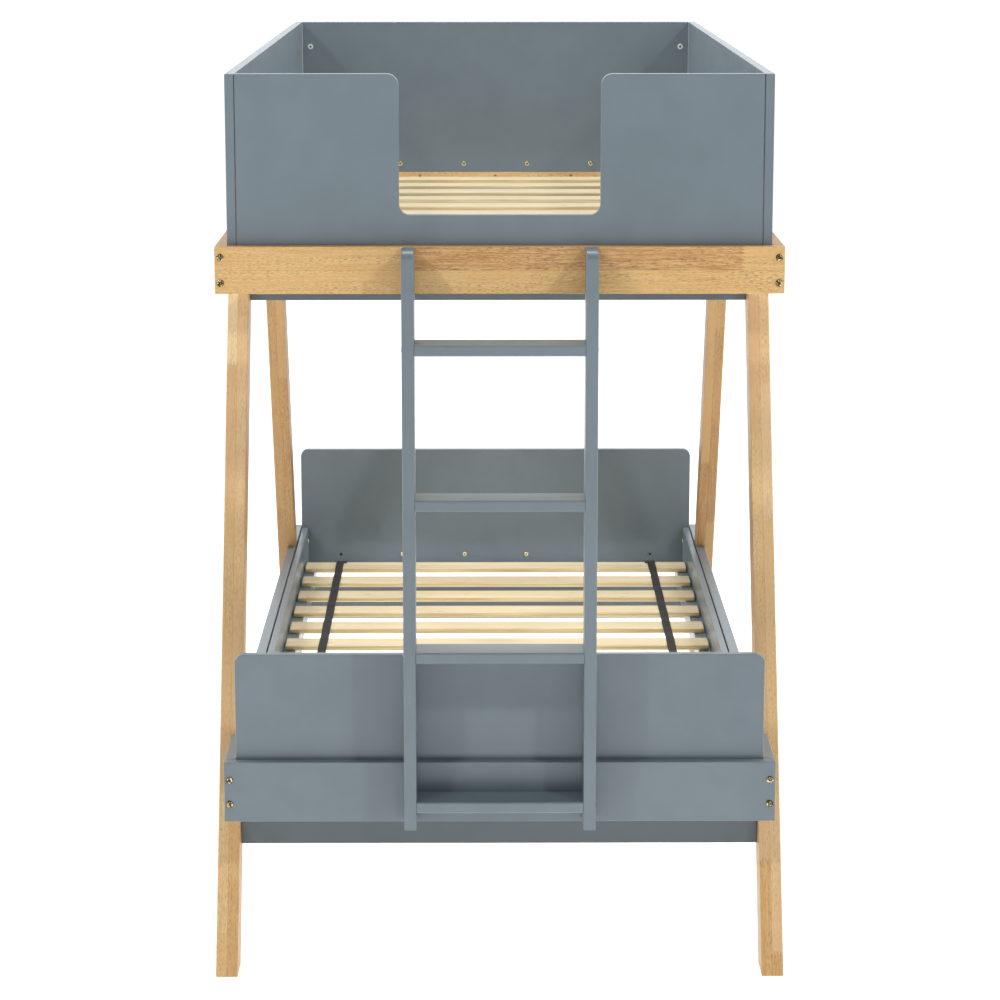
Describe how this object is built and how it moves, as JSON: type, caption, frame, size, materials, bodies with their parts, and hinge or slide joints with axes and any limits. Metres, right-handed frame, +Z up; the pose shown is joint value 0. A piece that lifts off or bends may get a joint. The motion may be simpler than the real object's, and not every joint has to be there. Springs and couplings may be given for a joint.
{
  "type": "bunk bed",
  "caption": "Bunk bed with two slatted decks on leaning wooden legs, painted guard panels and an upright ladder at one end",
  "frame": {"origin": "on the floor, under the middle of the whole bed with its ladder", "axes": "+Z up, +Y along the bed away from the ladder end, +X across the bed to the right when facing the ladder"},
  "size_m": [1.038, 2.1504, 1.637],
  "materials": {
    "natural_wood": "clear satin lacquer on finger-jointed rubberwood",
    "grey_paint": "satin blue-grey paint on board",
    "slat_wood": "planed bare poplar",
    "black_webbing": "woven polyester webbing",
    "bronze_bolts": "dark bronze plating",
    "yellow_bolts": "yellow zinc plating",
    "pale_sleeves": "smooth moulded nylon",
    "staple_steel": "black-coated wire"
  },
  "bodies": {
    "root": {"frame_corner_bolts": "bronze_bolts", "guard_corner_sleeves": "pale_sleeves", "guard_front_panel": "grey_paint", "guard_rear_panel": "grey_paint", "guard_side_panel_left": "grey_paint", "guard_side_panel_right": "grey_paint", "ladder_bolts": "bronze_bolts", "ladder_step_1": "grey_paint", "ladder_step_2": "grey_paint", "ladder_step_3": "grey_paint", "ladder_step_4": "grey_paint", "ladder_step_screws": "bronze_bolts", "ladder_upright_left": "grey_paint", "ladder_upright_right": "grey_paint", "leg_front_left": "natural_wood", "leg_front_right": "natural_wood", "leg_rear_left": "natural_wood", "leg_rear_right": "natural_wood", "leg_to_beam_bolts": "bronze_bolts", "leg_to_rail_bolts": "bronze_bolts", "lower_beam_front": "grey_paint", "lower_beam_rear": "grey_paint", "lower_end_panel_front": "grey_paint", "lower_end_panel_rear": "grey_paint", "lower_end_rail_front": "grey_paint", "lower_end_rail_rear": "grey_paint", "lower_ledger_left": "grey_paint", "lower_ledger_right": "grey_paint", "lower_panel_bolts": "yellow_bolts", "lower_side_board_left": "grey_paint", "lower_side_board_right": "grey_paint", "lower_side_rail_left": "grey_paint", "lower_side_rail_right": "grey_paint", "lower_slats": "slat_wood", "lower_strap_left": "black_webbing", "lower_strap_right": "black_webbing", "lower_strap_staples": "staple_steel", "upper_beam_front": "grey_paint", "upper_beam_rear": "grey_paint", "upper_cleat_front": "natural_wood", "upper_cleat_rear": "natural_wood", "upper_end_rail_front": "natural_wood", "upper_end_rail_rear": "natural_wood", "upper_ledger_left": "natural_wood", "upper_ledger_right": "natural_wood", "upper_panel_bolts": "yellow_bolts", "upper_side_rail_left": "natural_wood", "upper_side_rail_right": "natural_wood", "upper_slats": "slat_wood", "upper_strap_left": "black_webbing", "upper_strap_right": "black_webbing", "upper_strap_staples": "staple_steel"}
  },
  "joints": []
}
